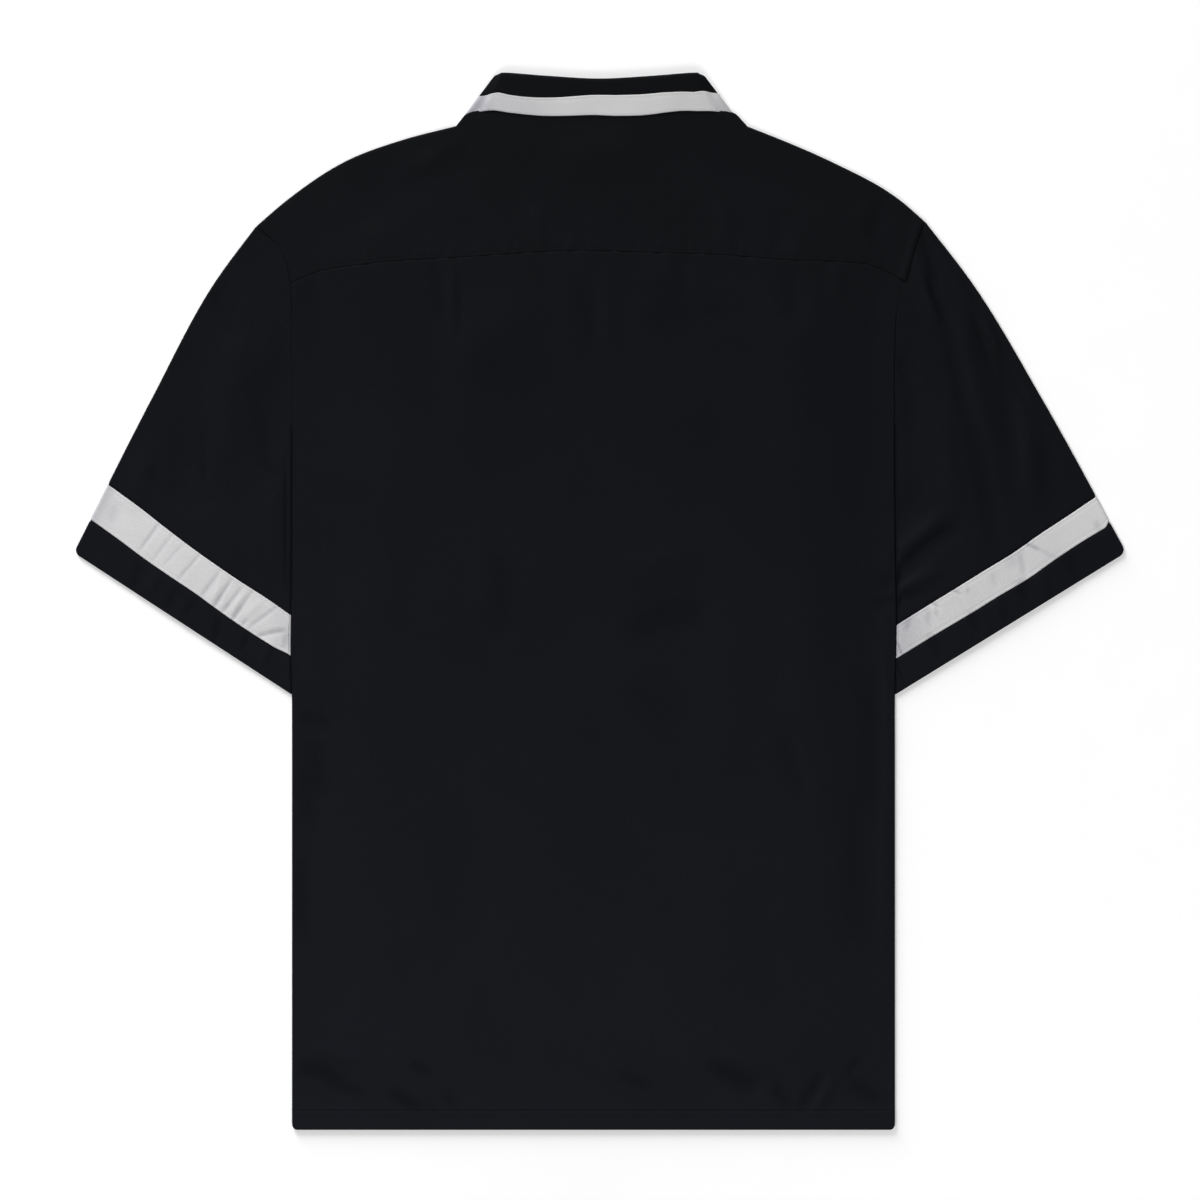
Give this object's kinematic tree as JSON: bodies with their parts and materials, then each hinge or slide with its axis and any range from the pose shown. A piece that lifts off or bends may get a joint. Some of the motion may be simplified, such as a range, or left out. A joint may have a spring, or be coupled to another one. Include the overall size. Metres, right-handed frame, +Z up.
{
  "type": "waiter shirt",
  "caption": "Black short-sleeved waiter's shirt with off-white bands on its sleeves and collar, buttoned up and laid flat on its front with its back up.",
  "frame": {"origin": "middle of the bounding box in plan, on the surface that the shirt lies on", "axes": "+X to the wearer's right, +Y from the hem towards the collar, +Z up out of the back of the shirt"},
  "size_m": [0.754, 0.7604, 0.0126],
  "materials": {
    "black_twill": "matt black woven shirting",
    "off_white_satin": "plain off-white woven cloth with a slight lustre",
    "black_button": "smooth black"
  },
  "bodies": {
    "root": {"back": "black_twill", "yoke": "black_twill", "front_left": "black_twill", "front_right": "black_twill", "sleeve_left": "black_twill", "sleeve_right": "black_twill", "sleeve_hem_left": "black_twill", "sleeve_hem_right": "black_twill", "collar": "black_twill", "sleeve_band_left": "off_white_satin", "sleeve_band_right": "off_white_satin", "collar_stripe": "off_white_satin", "button_1": "black_button", "button_2": "black_button", "button_3": "black_button", "button_4": "black_button", "button_5": "black_button", "button_6": "black_button"}
  },
  "joints": []
}
